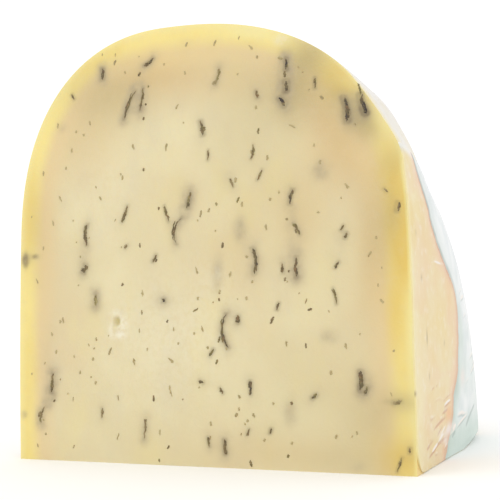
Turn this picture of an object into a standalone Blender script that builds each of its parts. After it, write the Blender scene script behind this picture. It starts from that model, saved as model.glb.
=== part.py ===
"""A quarter of a small spiced gouda wheel, standing on one of its two cut faces.

Sizes are in millimetres where they are named and become metres through MM.
The wheel's axis runs along X. The quarter's bottom front edge lies on that axis while
the parts are modelled, and at the end they are moved so that the origin is under the
middle of the finished part. +Z is up and the cut face with the herbs looks along -Y.
"""
import math
import random

import bmesh
import bpy
from mathutils import Matrix, Vector

MM = 0.001

# Driving sizes of the wheel and of the cut
WHEEL_RADIUS = 115.5
HALF_THICKNESS = 56.0
CUT_ANGLE = 87.0

# The section of the wheel: two flanks and a lopsided rim
CROWN_X = -10.5
LEFT_FLANK = 60.0
RIGHT_FLANK = 54.0
RIM_POWER = 2.35
FLANK_BOW = -1.0
FLANK_STEPS = 4
RIM_STEPS = 18
TURN_STEPS = 96
SHARP_ANGLE = 40.0

# The printed label on the right flank
LABEL_RADIUS = 80.0
LABEL_THICKNESS = 0.4
LABEL_GAP = 0.3
LABEL_FLOOR_GAP = 0.6
LABEL_CORNER = 5.5
CORNER_STEPS = 6
SLOPE_SPAN = 0.5

# Herb shreds in the cut face
SHRED_PROUD = 0.3
SHRED_SINK = 0.08
SHRED_SEGMENTS = 6
SHRED_RINGS = 4
SMALL_SHREDS = 46
SHRED_MARGIN = 5.0
SHRED_TRIES = 12
SHRED_SEED = 19

# The one small eye in the paste
EYE_PLACE = (-26.0, 37.3)
EYE_SIZE = (2.0, 2.8)
EYE_DEPTH = 0.7
EYE_SEGMENTS = 12
EYE_RINGS = 8


def clear_scene():
    """Take every object of the open file away."""
    for old in list(bpy.data.objects):
        bpy.data.objects.remove(old, do_unlink=True)


def new_collection(name, is_cutter=False):
    """A collection under the scene, hidden from renders when it holds cutters."""
    made = bpy.data.collections.new(name)
    bpy.context.scene.collection.children.link(made)
    made.hide_render = is_cutter
    return made


def new_material(name, colour, roughness):
    """A plain material with one colour and one roughness."""
    material = bpy.data.materials.new(name)
    material.use_nodes = True
    shader = material.node_tree.nodes["Principled BSDF"]
    shader.inputs["Base Color"].default_value = (*colour, 1.0)
    shader.inputs["Roughness"].default_value = roughness
    shader.inputs["Metallic"].default_value = 0.0
    material.diffuse_color = (*colour, 1.0)
    return material


def new_object(name, mesh, collection):
    """An object for a finished mesh, linked into its collection."""
    made = bpy.data.objects.new(name, mesh)
    collection.objects.link(made)
    return made


def section_edge(radius, side):
    """Where the section ends at a distance from the axis; side is +1 right, -1 left."""
    flank = RIGHT_FLANK if side > 0 else LEFT_FLANK
    reach = HALF_THICKNESS - side * CROWN_X
    share = max(0.0, radius - flank) / (WHEEL_RADIUS - flank)
    width = max(0.0, 1.0 - share ** RIM_POWER) ** (1.0 / RIM_POWER)
    along = radius / WHEEL_RADIUS
    bow = 4.0 * FLANK_BOW * along * (1.0 - along)
    return CROWN_X + side * reach * width + bow


def side_radii(side):
    """Distances from the axis at which one side of the section gets a point."""
    flank = RIGHT_FLANK if side > 0 else LEFT_FLANK
    radii = [flank * step / FLANK_STEPS for step in range(FLANK_STEPS)]
    for step in range(RIM_STEPS + 1):
        turn = 0.5 * math.pi * step / RIM_STEPS
        radii.append(flank + (WHEEL_RADIUS - flank) * math.sin(turn) ** (2.0 / RIM_POWER))
    return radii


def wheel_profile():
    """Points (x, radius) from the right pole over the rim to the left pole."""
    right = [(section_edge(radius, 1), radius) for radius in side_radii(1)]
    left = [(section_edge(radius, -1), radius) for radius in side_radii(-1)]
    return right + left[-2::-1]


def label_profile():
    """The right side's points out to the label's edge, lifted off the cheese by the gap."""
    radii = [radius for radius in side_radii(1) if radius < LABEL_RADIUS - 1.0]
    radii.append(LABEL_RADIUS)
    points = []
    for radius in radii:
        normal = Vector((1.0, 0.0))
        if radius > SLOPE_SPAN:
            drop = section_edge(radius - SLOPE_SPAN, 1) - section_edge(radius + SLOPE_SPAN, 1)
            normal = Vector((2.0 * SLOPE_SPAN, drop)).normalized()
        points.append((section_edge(radius, 1) + LABEL_GAP * normal.x,
                       radius + LABEL_GAP * normal.y))
    return points


def turn_profile(name, points, collection):
    """Turn a profile of (x, radius) points round the X axis into a surface."""
    mesh = bpy.data.meshes.new(name)
    outline = bmesh.new()
    corners = [outline.verts.new((x * MM, radius * MM, 0.0)) for x, radius in points]
    for first, second in zip(corners, corners[1:]):
        outline.edges.new((first, second))
    outline.to_mesh(mesh)
    outline.free()
    turned = new_object(name, mesh, collection)
    screw = turned.modifiers.new("turn", "SCREW")
    screw.axis = "X"
    screw.angle = math.tau
    screw.steps = TURN_STEPS
    screw.render_steps = TURN_STEPS
    screw.use_merge_vertices = True
    screw.merge_threshold = 0.00001
    return turned


def wedge_knife(name, corner, floor_gap, collection):
    """A long wedge between the two cut faces, for keeping what is inside it.

    The corner at the wheel's axis can be rounded, and the floor side can be lifted.
    """
    opening = math.radians(CUT_ANGLE)
    start = Vector((floor_gap / math.tan(opening), floor_gap))
    outline = [start]
    if corner:
        middle = start + Vector((corner / math.tan(0.5 * opening), corner))
        outline = []
        for step in range(CORNER_STEPS + 1):
            turn = opening - 1.5 * math.pi + (math.pi - opening) * step / CORNER_STEPS
            outline.append(middle + corner * Vector((math.cos(turn), math.sin(turn))))
    reach = 2.0 * WHEEL_RADIUS
    outline.append(start + Vector((reach, 0.0)))
    outline.append(start + Vector((reach, reach)))
    outline.append(start + reach * Vector((math.cos(opening), math.sin(opening))))
    half_width = 2.0 * HALF_THICKNESS
    prism = bmesh.new()
    corners = [prism.verts.new((-half_width * MM, point.x * MM, point.y * MM)) for point in outline]
    prism.faces.new(corners)
    swept = bmesh.ops.extrude_face_region(prism, geom=prism.faces[:])
    far_side = [item for item in swept["geom"] if isinstance(item, bmesh.types.BMVert)]
    bmesh.ops.translate(prism, verts=far_side, vec=(2.0 * half_width * MM, 0.0, 0.0))
    bmesh.ops.recalc_face_normals(prism, faces=prism.faces[:])
    mesh = bpy.data.meshes.new(name)
    prism.to_mesh(mesh)
    prism.free()
    knife = new_object(name, mesh, collection)
    knife.display_type = "WIRE"
    return knife


def apply_modifiers(item):
    """Keep what an object's modifiers make as its own mesh."""
    graph = bpy.context.evaluated_depsgraph_get()
    made = bpy.data.meshes.new_from_object(item.evaluated_get(graph))
    item.modifiers.clear()
    item.data = made


def cut_face_frame():
    """The upright cut face's frame: across, up the face, and out of it."""
    lean = math.radians(CUT_ANGLE)
    across = Vector((1.0, 0.0, 0.0))
    up = Vector((0.0, math.cos(lean), math.sin(lean)))
    out = across.cross(up)
    frame = Matrix((across, up, out)).transposed().to_4x4()
    return frame


# The shreds that stand out in the photo: across, up, length, width, lean in degrees
MAIN_SHREDS = (
    (-17.0, 106.7, 3.6, 1.0, 56), (-31.3, 104.7, 3.4, 1.3, 0), (-22.7, 95.5, 8.4, 0.7, 24),
    (-19.1, 96.7, 6.4, 0.7, 8), (-40.6, 99.2, 1.8, 0.8, -30), (-1.2, 87.5, 4.2, 1.4, -12),
    (0.8, 80.3, 2.8, 0.7, 2), (-4.8, 68.7, 4.6, 1.0, 15), (-11.1, 65.3, 4.8, 0.7, -18),
    (-8.0, 61.0, 7.0, 0.7, 12), (-24.0, 66.0, 5.0, 1.0, 21), (-35.6, 60.7, 6.0, 1.0, 0),
    (3.4, 100.8, 4.4, 0.9, 14), (22.8, 102.2, 3.0, 0.9, 0), (22.8, 96.5, 2.6, 1.3, 0),
    (21.6, 92.6, 2.8, 1.2, -35), (14.6, 95.1, 2.0, 0.8, -15), (30.7, 96.5, 2.8, 0.7, 2),
    (38.7, 89.2, 6.4, 1.1, -10), (43.6, 90.2, 5.2, 1.1, -18), (13.3, 80.3, 3.9, 0.6, 10),
    (15.4, 74.2, 3.0, 0.7, 28), (24.1, 68.1, 4.0, 1.0, 12), (52.1, 64.3, 2.4, 1.0, 8),
    (25.6, 59.9, 3.6, 0.8, -32), (-36.3, 51.6, 2.4, 1.6, 20), (-14.8, 53.8, 2.4, 1.3, 30),
    (-46.2, 20.8, 5.4, 1.2, 5), (-48.8, 12.1, 4.8, 0.9, 18), (-30.4, 13.0, 2.8, 0.8, 0),
    (-17.3, 9.2, 5.4, 0.8, 5), (13.6, 52.2, 6.8, 1.1, -3), (25.5, 50.4, 5.2, 1.0, 0),
    (21.7, 50.2, 2.6, 0.8, -4), (35.5, 43.0, 4.2, 0.7, -13), (6.4, 34.6, 8.8, 0.7, -5),
    (9.4, 37.6, 2.0, 1.2, 0), (42.0, 22.4, 4.8, 1.2, 0), (12.8, 20.2, 3.6, 0.9, -3),
    (51.3, 17.3, 2.3, 1.0, 72), (5.8, 5.3, 3.9, 1.0, -4), (30.1, 18.4, 1.8, 1.0, 50),
    (36.1, 50.6, 2.0, 0.8, 33), (20.4, 40.7, 2.0, 0.8, 20), (2.0, 29.1, 2.2, 0.9, 32),
    (43.5, 20.1, 1.9, 0.9, 18), (-12.0, 42.7, 1.0, 1.0, 0), (1.2, 6.4, 2.5, 0.8, -10),
    (12.2, 9.1, 2.0, 0.7, 22), (18.4, 9.6, 1.4, 0.9, 15), (51.6, 2.6, 3.4, 0.7, 20),
    (48.9, 68.4, 1.4, 0.9, -40), (38.6, 57.8, 1.5, 1.0, 25), (37.6, 59.8, 1.6, 0.7, 34),
    (7.6, 72.6, 2.6, 0.7, -26), (-32.7, 43.1, 3.2, 1.2, 0), (4.8, 19.4, 1.8, 0.8, -34),
    (-1.0, 21.6, 1.5, 0.9, -68), (-23.5, 57.2, 1.3, 1.0, 40), (54.2, 6.0, 1.2, 0.7, 0),
)


def small_shreds():
    """More shreds, spread evenly over the cut face and clear of the main ones."""
    draw = random.Random(SHRED_SEED)
    placed = [(across, up) for across, up, *rest in MAIN_SHREDS]
    placed.append(EYE_PLACE)
    shreds = []
    while len(shreds) < SMALL_SHREDS:
        best = None
        best_room = 0.0
        for attempt in range(SHRED_TRIES):
            up = draw.uniform(SHRED_MARGIN, WHEEL_RADIUS - SHRED_MARGIN)
            left = section_edge(up, -1) + SHRED_MARGIN
            right = section_edge(up, 1) - SHRED_MARGIN
            across = draw.uniform(-HALF_THICKNESS, HALF_THICKNESS)
            if not left < across < right:
                continue
            room = min(math.hypot(across - x, up - y) for x, y in placed)
            if room > best_room:
                best = (across, up)
                best_room = room
        if best is None:
            continue
        placed.append(best)
        length = draw.triangular(0.9, 2.4, 1.3)
        width = draw.uniform(0.5, 0.8)
        shreds.append((*best, length, width, draw.gauss(0.0, 24.0)))
    return shreds


def add_shreds(cheese):
    """Fuse the shreds to the cut face as low ridges, with one Boolean."""
    bits = new_collection("shred_bits", is_cutter=True)
    face = cut_face_frame()
    thickness = SHRED_PROUD + SHRED_SINK
    for number, (across, up, length, width, lean) in enumerate([*MAIN_SHREDS, *small_shreds()]):
        place = Matrix.Translation((across * MM, up * MM, -SHRED_SINK * MM))
        turn = Matrix.Rotation(-math.radians(lean), 4, "Z")
        size = Matrix.Diagonal((0.5 * width * MM, 0.5 * length * MM, thickness * MM, 1.0))
        lump = bmesh.new()
        bmesh.ops.create_uvsphere(lump, u_segments=SHRED_SEGMENTS, v_segments=SHRED_RINGS,
                                  radius=1.0, matrix=face @ place @ turn @ size)
        mesh = bpy.data.meshes.new(f"shred_{number}")
        lump.to_mesh(mesh)
        lump.free()
        new_object(f"shred_{number}", mesh, bits)
    fuse = cheese.modifiers.new("fuse", "BOOLEAN")
    fuse.operation = "UNION"
    fuse.operand_type = "COLLECTION"
    fuse.collection = bits
    apply_modifiers(cheese)
    for lump in list(bits.objects):
        bpy.data.objects.remove(lump, do_unlink=True)
    bpy.data.collections.remove(bits)


def add_eye(cheese, cutters):
    """Hollow the small eye out of the cut face."""
    place = Matrix.Translation((EYE_PLACE[0] * MM, EYE_PLACE[1] * MM, 0.0))
    size = Matrix.Diagonal((0.5 * EYE_SIZE[0] * MM, 0.5 * EYE_SIZE[1] * MM, EYE_DEPTH * MM, 1.0))
    ball = bmesh.new()
    bmesh.ops.create_uvsphere(ball, u_segments=EYE_SEGMENTS, v_segments=EYE_RINGS, radius=1.0,
                              matrix=cut_face_frame() @ place @ size)
    mesh = bpy.data.meshes.new("eye_cutter")
    ball.to_mesh(mesh)
    ball.free()
    eye = new_object("eye_cutter", mesh, cutters)
    eye.display_type = "WIRE"
    scoop = cheese.modifiers.new("eye", "BOOLEAN")
    scoop.operation = "DIFFERENCE"
    scoop.object = eye


def cut_with(item, knife):
    """Keep the part of an object that lies inside the knife's wedge."""
    cut = item.modifiers.new("cut", "BOOLEAN")
    cut.operation = "INTERSECT"
    cut.object = knife


def shade_rounded(item):
    """Smooth shading, with the cut edges kept sharp."""
    limit = math.radians(SHARP_ANGLE)
    shaded = bmesh.new()
    shaded.from_mesh(item.data)
    for face in shaded.faces:
        face.smooth = True
    for edge in shaded.edges:
        edge.smooth = len(edge.link_faces) == 2 and edge.calc_face_angle(0.0) < limit
    shaded.to_mesh(item.data)
    shaded.free()


def make_cheese(parts, cutters):
    """The paste with its rind: a turned wheel, cut to a quarter."""
    cheese = turn_profile("cheese", wheel_profile(), parts)
    cut_with(cheese, wedge_knife("cheese_knife", 0.0, 0.0, cutters))
    apply_modifiers(cheese)
    add_shreds(cheese)
    add_eye(cheese, cutters)
    apply_modifiers(cheese)
    shade_rounded(cheese)
    cheese.data.materials.clear()
    cheese.data.materials.append(new_material("cheese_paste", (0.79, 0.67, 0.40), 0.5))
    return cheese


def make_label(parts, cutters):
    """The printed label: a thin skin over the right flank and on to the rim."""
    label = turn_profile("label", label_profile(), parts)
    shell = label.modifiers.new("shell", "SOLIDIFY")
    shell.thickness = LABEL_THICKNESS * MM
    shell.offset = 1.0
    shell.use_even_offset = True
    cut_with(label, wedge_knife("label_knife", LABEL_CORNER, LABEL_FLOOR_GAP, cutters))
    apply_modifiers(label)
    shade_rounded(label)
    label.data.materials.clear()
    label.data.materials.append(new_material("label_film", (0.84, 0.66, 0.44), 0.35))
    return label


def stand_on_origin(made):
    """Move the parts together so that the origin is under the middle of them."""
    corners = [Vector(corner) for item in made for corner in item.bound_box]
    low = Vector([min(corner[axis] for corner in corners) for axis in range(3)])
    high = Vector([max(corner[axis] for corner in corners) for axis in range(3)])
    shift = Vector((-0.5 * (low.x + high.x), -0.5 * (low.y + high.y), -low.z))
    for item in made:
        item.location = shift


def main():
    """Build the parts in their collection and the cutters in another."""
    clear_scene()
    parts = new_collection("spiced_gouda")
    cutters = new_collection("cutters", is_cutter=True)
    cheese = make_cheese(parts, cutters)
    label = make_label(parts, cutters)
    stand_on_origin([cheese, label])


main()
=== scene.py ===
"""Looks of a quarter of a small spiced gouda wheel, standing on one cut face.

The paste is cream with dark herb shreds, and yellow to straw under the rind. The rind is a
smooth pale coat, and a thin printed label lies over the right flank. Sizes are in
millimetres, and colours are screen values from 0 to 255, made linear where they are used.
"""
import math
import random

import bmesh
import bpy
import numpy as np
from mathutils import Matrix, Vector, noise
from mathutils.kdtree import KDTree


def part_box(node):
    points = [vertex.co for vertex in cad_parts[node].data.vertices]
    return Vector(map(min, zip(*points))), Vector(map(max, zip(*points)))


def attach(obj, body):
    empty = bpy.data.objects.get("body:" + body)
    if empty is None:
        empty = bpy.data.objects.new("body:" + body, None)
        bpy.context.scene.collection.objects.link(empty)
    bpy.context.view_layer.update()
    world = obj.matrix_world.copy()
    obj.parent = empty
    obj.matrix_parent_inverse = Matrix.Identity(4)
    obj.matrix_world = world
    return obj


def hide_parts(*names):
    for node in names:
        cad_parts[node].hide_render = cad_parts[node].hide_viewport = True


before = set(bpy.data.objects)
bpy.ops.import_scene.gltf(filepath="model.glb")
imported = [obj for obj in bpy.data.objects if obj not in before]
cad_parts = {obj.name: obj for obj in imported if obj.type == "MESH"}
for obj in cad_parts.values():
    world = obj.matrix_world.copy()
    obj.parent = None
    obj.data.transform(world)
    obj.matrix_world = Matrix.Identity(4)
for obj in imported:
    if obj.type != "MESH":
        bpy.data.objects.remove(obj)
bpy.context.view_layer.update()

# Studio: a white room with a pale floor, one large soft lamp from the upper left and a
# weaker one from the right. The camera stands low, close to the cheese, turned a little
# to its labelled side, as in the photograph.
MM = 0.001
WHEEL_RADIUS = 115.5
HALF_THICKNESS = 56.0
cheese_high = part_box("cheese")[1]
AXIS_POINT = Vector((cheese_high.x - HALF_THICKNESS * MM, cheese_high.y - WHEEL_RADIUS * MM, 0.0))

CAMERA_AZIMUTH = 23.92
CAMERA_RISE = -1.925
CAMERA_ROLL = 1.238
CAMERA_DISTANCE = 330.5
CAMERA_AIM = (0.75, 30.0, 56.01)
PICTURE_SIZE = 500
FOCAL_PIXELS = 1182.8
SENSOR = 36.0

FLOOR_SIZE = 6.0
FLOOR_COLOUR = (251, 251, 250)
ROOM_STRENGTH = 1.1
KEY_PLACE = (-0.9, -1.3, 1.3)
KEY_SIZE = 1.2
KEY_POWER = 4.0
FILL_PLACE = (1.5, -0.7, 0.7)
FILL_SIZE = 1.0
FILL_POWER = 1.5


def linear(colour):
    """Screen values from 0 to 255 as the linear colour that shaders take."""
    shares = [value / 255.0 for value in colour]
    return tuple(v / 12.92 if v <= 0.04045 else ((v + 0.055) / 1.055) ** 2.4 for v in shares)


def nothing_selected():
    """Leave edit mode and let go of every object."""
    if bpy.context.object and bpy.context.object.mode != "OBJECT":
        bpy.ops.object.mode_set(mode="OBJECT")
    bpy.ops.object.select_all(action="DESELECT")


def pick(thing):
    """Select one object alone and make it the active one."""
    nothing_selected()
    thing.select_set(True)
    bpy.context.view_layer.objects.active = thing


nothing_selected()
bpy.context.scene.view_settings.view_transform = "Standard"
bpy.context.scene.view_settings.look = "None"

aim = AXIS_POINT + Vector(CAMERA_AIM) * MM
turned = Matrix.Rotation(math.radians(CAMERA_AZIMUTH), 4, "Z")
turned @= Matrix.Rotation(math.radians(90.0 - CAMERA_RISE), 4, "X")
turned @= Matrix.Rotation(math.radians(-CAMERA_ROLL), 4, "Z")

bpy.ops.object.camera_add()
camera = bpy.context.object
camera.name = "camera"
camera.data.sensor_width = SENSOR
camera.data.lens = FOCAL_PIXELS / PICTURE_SIZE * SENSOR
camera.data.clip_start = 0.01
camera.data.clip_end = 20.0
stand_back = Matrix.Translation((0.0, 0.0, CAMERA_DISTANCE * MM))
camera.matrix_world = Matrix.Translation(aim) @ turned @ stand_back
bpy.context.scene.camera = camera

room = bpy.data.worlds.new("white_room")
room.use_nodes = True
room.node_tree.nodes["Background"].inputs["Color"].default_value = (1.0, 1.0, 1.0, 1.0)
room.node_tree.nodes["Background"].inputs["Strength"].default_value = ROOM_STRENGTH
bpy.context.scene.world = room


def soft_lamp(name, place, size, power):
    """A square lamp that looks at the middle of the cheese."""
    bpy.ops.object.light_add(type="AREA", location=place)
    lamp = bpy.context.object
    lamp.name = name
    lamp.data.size = size
    lamp.data.energy = power
    lamp.rotation_euler = (Vector(place) - aim).to_track_quat("Z", "Y").to_euler()


soft_lamp("key_lamp", KEY_PLACE, KEY_SIZE, KEY_POWER)
soft_lamp("fill_lamp", FILL_PLACE, FILL_SIZE, FILL_POWER)


class Wire:
    """A node's output, so that shader maths can be written as sums."""

    def __init__(self, tree, socket):
        self.tree = tree
        self.socket = socket

    def math(self, operation, other):
        """One sum or product with a number or another wire."""
        node = self.tree.nodes.new("ShaderNodeMath")
        node.operation = operation
        for slot, value in enumerate((self, other)):
            if isinstance(value, Wire):
                self.tree.links.new(value.socket, node.inputs[slot])
            else:
                node.inputs[slot].default_value = value
        return Wire(self.tree, node.outputs[0])

    def __add__(self, other):
        return self.math("ADD", other)

    def __mul__(self, other):
        return self.math("MULTIPLY", other)

    def __sub__(self, other):
        return self.math("SUBTRACT", other)

    def __rsub__(self, other):
        return (self * -1.0) + other

    def between(self, low, high):
        """0 below low, 1 above high, smooth between them."""
        node = self.tree.nodes.new("ShaderNodeMapRange")
        node.interpolation_type = "SMOOTHSTEP"
        self.tree.links.new(self.socket, node.inputs["Value"])
        node.inputs["From Min"].default_value = low
        node.inputs["From Max"].default_value = high
        return Wire(self.tree, node.outputs["Result"])

    def up_to(self, low, high):
        """1 below low, 0 above high, smooth between them."""
        return 1.0 - self.between(low, high)


class Finish:
    """A material under construction, with its Principled shader."""

    def __init__(self, name, roughness, **constants):
        self.material = bpy.data.materials.new(name)
        self.material.use_nodes = True
        self.tree = self.material.node_tree
        self.shader = self.tree.nodes["Principled BSDF"]
        self.shader.inputs["Roughness"].default_value = roughness
        for socket, value in constants.items():
            self.shader.inputs[socket.replace("_", " ")].default_value = value
        self.place = self.node("ShaderNodeTexCoord", output="Object")

    def node(self, kind, settings=None, values=None, output=0):
        """Add a node, set it, and fill its sockets with values or wires."""
        made = self.tree.nodes.new(kind)
        for name, value in (settings or {}).items():
            setattr(made, name, value)
        for name, value in (values or {}).items():
            if isinstance(value, Wire):
                self.tree.links.new(value.socket, made.inputs[name])
            else:
                made.inputs[name].default_value = value
        return Wire(self.tree, made.outputs[output])

    def noise(self, scale, detail=2.0, stretch=(1.0, 1.0, 1.0)):
        """Smooth noise on the object's own coordinates; scale is in bumps per metre."""
        place = self.place
        if stretch != (1.0, 1.0, 1.0):
            place = self.node("ShaderNodeMapping", values={"Vector": place, "Scale": stretch})
        return self.node("ShaderNodeTexNoise", values={"Vector": place, "Scale": scale, "Detail": detail})

    def attribute(self, name):
        """A number that the mesh carries at its points."""
        return self.node("ShaderNodeAttribute", {"attribute_name": name}, output="Fac")

    def blend(self, share, below, above):
        """From one colour to another; colours are wires or screen values."""
        made = self.tree.nodes.new("ShaderNodeMix")
        made.data_type = "RGBA"
        self.tree.links.new(share.socket, made.inputs["Factor"])
        for slot, colour in ((6, below), (7, above)):
            if isinstance(colour, Wire):
                self.tree.links.new(colour.socket, made.inputs[slot])
            else:
                made.inputs[slot].default_value = (*linear(colour), 1.0)
        return Wire(self.tree, made.outputs[2])

    def layers(self, colour, *coats):
        """A colour with coats over it, from the lowest up, each (share, colour)."""
        for share, above in coats:
            colour = self.blend(share, colour, above)
        return colour

    def bump(self, height, distance, strength, under=None):
        """Height in a bump node; distance is in metres."""
        values = {"Height": height, "Distance": distance, "Strength": strength}
        if under is not None:
            values["Normal"] = under
        return self.node("ShaderNodeBump", values=values)

    def feed(self, socket, wire):
        """Lead a wire to a socket of the shader."""
        self.tree.links.new(wire.socket, self.shader.inputs[socket])


def paint(thing, *finishes):
    """Give an object these finishes and no others."""
    thing.data.materials.clear()
    for finish in finishes:
        thing.data.materials.append(finish.material)


floor_finish = Finish("floor_paint", 0.9)
floor_finish.feed("Base Color", floor_finish.blend(
    floor_finish.noise(6.0), FLOOR_COLOUR, tuple(value - 2 for value in FLOOR_COLOUR)))
bpy.ops.mesh.primitive_plane_add(size=FLOOR_SIZE, location=(0.0, 0.0, 0.0))
floor = bpy.context.object
floor.name = "floor"
paint(floor, floor_finish)
nothing_selected()

# Cheese: one piece of paste and rind. The wheel was pressed in a round mould, so its rim
# is one lopsided curve, and a knife cut the quarter out of it. The upright cut face is
# modelled first, as a fine grid, and then spun round the wheel's axis into the rim.
CUT_ANGLE = 87.0
CROWN_X = -10.5
LEFT_FLANK = 60.0
RIGHT_FLANK = 54.0
RIM_POWER = 2.35
FLANK_BOW = -1.0
FACE_CELLS = 210
SPIN_STEPS = 66
OUTLINE_SAMPLES = 1200
SAME_PLACE = 0.01
BASE_CORNERS = 55.0
BASE_MIDDLE = AXIS_POINT + Vector((-2.0, 48.0, 0.0)) * MM
BASE_SHRINKS = (0.96, 0.955, 0.95, 0.93, 0.85, 0.6)

opening = math.radians(CUT_ANGLE)
to_right = np.array((1.0, 0.0, 0.0))
face_up = np.array((0.0, math.cos(opening), math.sin(opening)))
face_out = np.array((0.0, -math.sin(opening), math.cos(opening)))


def bell(values):
    """1 at zero, falling softly to 0 on both sides."""
    return np.exp(-values ** 2)


def fraction(values):
    """Values kept between 0 and 1."""
    return np.clip(values, 0.0, 1.0)


def as_points(*columns):
    """Columns of numbers as rows of points; a single number fills its whole column."""
    return np.stack(np.broadcast_arrays(*columns), axis=-1)


def noise_at(*columns):
    """Smooth noise from -1 to 1 at points given by their columns."""
    return np.array([noise.noise(Vector(place)) for place in as_points(*columns)])


def section_edge(radius, side):
    """Where the section ends at a distance from the axis; side is +1 right, -1 left."""
    flank = RIGHT_FLANK if side > 0 else LEFT_FLANK
    reach = HALF_THICKNESS - side * CROWN_X
    share = np.maximum(0.0, radius - flank) / (WHEEL_RADIUS - flank)
    width = np.maximum(0.0, 1.0 - share ** RIM_POWER) ** (1.0 / RIM_POWER)
    along = radius / WHEEL_RADIUS
    return CROWN_X + side * reach * width + 4.0 * FLANK_BOW * along * (1.0 - along)


def side_line(side):
    """Close points (across, up) up one side of the section to the crown."""
    flank = RIGHT_FLANK if side > 0 else LEFT_FLANK
    turn = np.linspace(0.0, 0.5 * math.pi, OUTLINE_SAMPLES)
    rim = flank + (WHEEL_RADIUS - flank) * np.sin(turn) ** (2.0 / RIM_POWER)
    radius = np.concatenate((np.linspace(0.0, flank, OUTLINE_SAMPLES)[:-1], rim))
    return as_points(section_edge(radius, side), radius)


def along_line(line, shares):
    """Points at shares of a line's length."""
    steps = np.linalg.norm(np.diff(line, axis=0), axis=1)
    length = np.concatenate(((0.0,), np.cumsum(steps)))
    places = np.asarray(shares) * length[-1]
    return as_points(*[np.interp(places, length, column) for column in line.T])


def face_grid(cells, outline, turns=(1.0 / 3.0, 2.0 / 3.0), gather=(1.0, 1.0)):
    """A square grid drawn out to an outline that runs from bottom left over the top to bottom right.

    The turns are the shares of the outline's length where the grid's upper corners go.
    Powers over 1 gather the cells towards the left and the bottom.
    """
    across_shares = np.linspace(0.0, 1.0, cells + 1) ** gather[0]
    up_shares = np.linspace(0.0, 1.0, cells + 1) ** gather[1]
    left = along_line(outline, up_shares * turns[0])
    top = along_line(outline, turns[0] + across_shares * (turns[1] - turns[0]))
    right = along_line(outline, 1.0 - up_shares * (1.0 - turns[1]))
    bottom = left[0] + across_shares[:, None] * (right[0] - left[0])
    u = across_shares[None, :, None]
    v = up_shares[:, None, None]
    sides = (1 - u) * left[:, None] + u * right[:, None] + (1 - v) * bottom[None] + v * top[None]
    corners = ((1 - u) * (1 - v) * left[0] + u * (1 - v) * right[0]
               + (1 - u) * v * left[-1] + u * v * right[-1])
    return (sides - corners).reshape(-1, 2)


def points_of(mesh):
    """All points of a mesh as an array."""
    flat = np.zeros(len(mesh.vertices) * 3, np.float32)
    mesh.vertices.foreach_get("co", flat)
    return flat.reshape(-1, 3).astype(float)


def set_points(mesh, points):
    """Move all points of a mesh."""
    mesh.vertices.foreach_set("co", np.asarray(points, np.float32).ravel())
    mesh.update()


def from_axis(mesh):
    """The points of a mesh in millimetres from the wheel's axis."""
    return (points_of(mesh) - np.array(AXIS_POINT)) / MM


def in_scene(points):
    """Millimetres from the wheel's axis as places in the scene."""
    return np.array(AXIS_POINT) + points * MM


def carry(mesh, name, values):
    """Store one number at each point, for the material to read."""
    layer = mesh.attributes.new(name, "FLOAT", "POINT")
    layer.data.foreach_set("value", np.asarray(values, np.float32))


def shaped_grid(name, cells, points):
    """Add a grid primitive and move its points, row by row, to the given places."""
    nothing_selected()
    bpy.ops.mesh.primitive_grid_add(x_subdivisions=cells, y_subdivisions=cells, size=1.0)
    made = bpy.context.object
    made.name = name
    flat = points_of(made.data)
    shaped = np.zeros_like(flat)
    shaped[np.lexsort((flat[:, 0], flat[:, 1]))] = points
    set_points(made.data, shaped)
    return made


def distance_to(line, points):
    """Distance from each flat point to the nearest point of a dense line."""
    tree = KDTree(len(line))
    for index, (across, up) in enumerate(line):
        tree.insert((across, up, 0.0), index)
    tree.balance()
    return np.array([tree.find((across, up, 0.0))[2] for across, up in points])


def soft_spots(across, up, spots):
    """Sum of soft ellipses, each (across, up, reach across, reach up, weight)."""
    total = np.zeros_like(across)
    for middle_across, middle_up, reach_across, reach_up, weight in spots:
        square = ((across - middle_across) / reach_across) ** 2 + ((up - middle_up) / reach_up) ** 2
        total += weight * np.exp(-square)
    return total


section = np.concatenate((side_line(-1), side_line(1)[-2::-1]))
grid = face_grid(FACE_CELLS, section)
standing = in_scene(grid[:, :1] * to_right + grid[:, 1:] * face_up)
cheese = shaped_grid("gouda_quarter", FACE_CELLS, standing)
on_floor = points_of(cheese.data)[:, 2] < SAME_PLACE * MM

bpy.ops.object.mode_set(mode="EDIT")
bpy.ops.mesh.select_mode(type="EDGE")
bpy.ops.mesh.select_all(action="DESELECT")
bpy.ops.mesh.select_non_manifold()
bpy.ops.object.mode_set(mode="OBJECT")
for edge in cheese.data.edges:
    if on_floor[edge.vertices[0]] and on_floor[edge.vertices[1]]:
        edge.select = False
for point in cheese.data.vertices:
    at_corner = abs(point.co.x) > BASE_CORNERS * MM
    point.select = point.select and (at_corner or not on_floor[point.index])
bpy.ops.object.mode_set(mode="EDIT")
bpy.ops.mesh.spin(steps=SPIN_STEPS, angle=opening, center=AXIS_POINT, axis=(1.0, 0.0, 0.0))
bpy.ops.mesh.select_all(action="SELECT")
bpy.ops.mesh.remove_doubles(threshold=SAME_PLACE * MM)
bpy.ops.mesh.select_all(action="DESELECT")
bpy.ops.mesh.select_non_manifold()
bpy.ops.mesh.edge_face_add()
for shrink in BASE_SHRINKS:
    bpy.ops.mesh.extrude_region()
    bpy.ops.transform.resize(value=(shrink, shrink, 1.0), center_override=BASE_MIDDLE)
bpy.ops.mesh.select_all(action="SELECT")
bpy.ops.mesh.normals_make_consistent(inside=False)
bpy.ops.object.mode_set(mode="OBJECT")

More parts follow.
